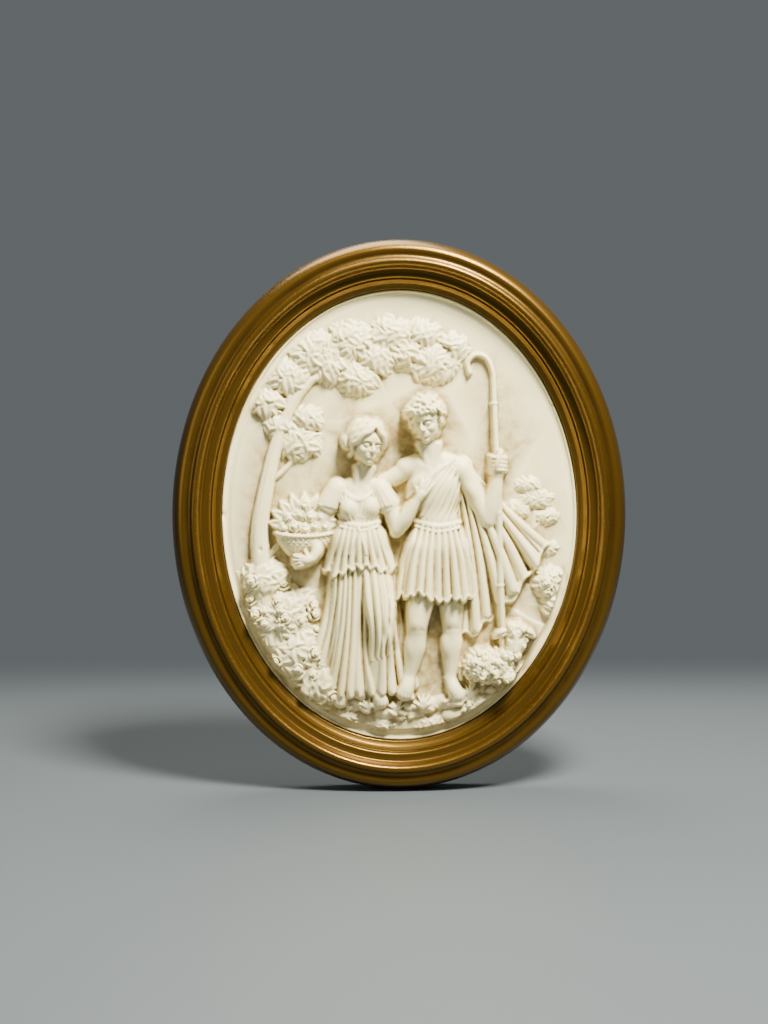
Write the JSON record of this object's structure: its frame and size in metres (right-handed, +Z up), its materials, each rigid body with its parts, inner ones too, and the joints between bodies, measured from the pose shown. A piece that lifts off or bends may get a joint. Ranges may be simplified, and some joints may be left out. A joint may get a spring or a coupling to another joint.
{
  "type": "chalkware relief plaque",
  "caption": "Oval wall plaque of cast plaster with a couple, a lamb and a basket of flowers in high relief, in a moulded gilt frame.",
  "frame": {"origin": "middle of the flat back, on the plaque's back face", "axes": "+Z up the plaque's long axis; the relief faces -Y; +Y out of the back, into the wall; +X to the right as seen from the front"},
  "size_m": [0.38, 0.0397, 0.46],
  "materials": {
    "gilt_wood": "antique gold paint, satin, rubbed on the edges",
    "plaster": "ivory paint on cast plaster, satin, tan wash in the hollows"
  },
  "bodies": {
    "root": {"frame": "gilt_wood", "plaque": "plaster"}
  },
  "joints": []
}
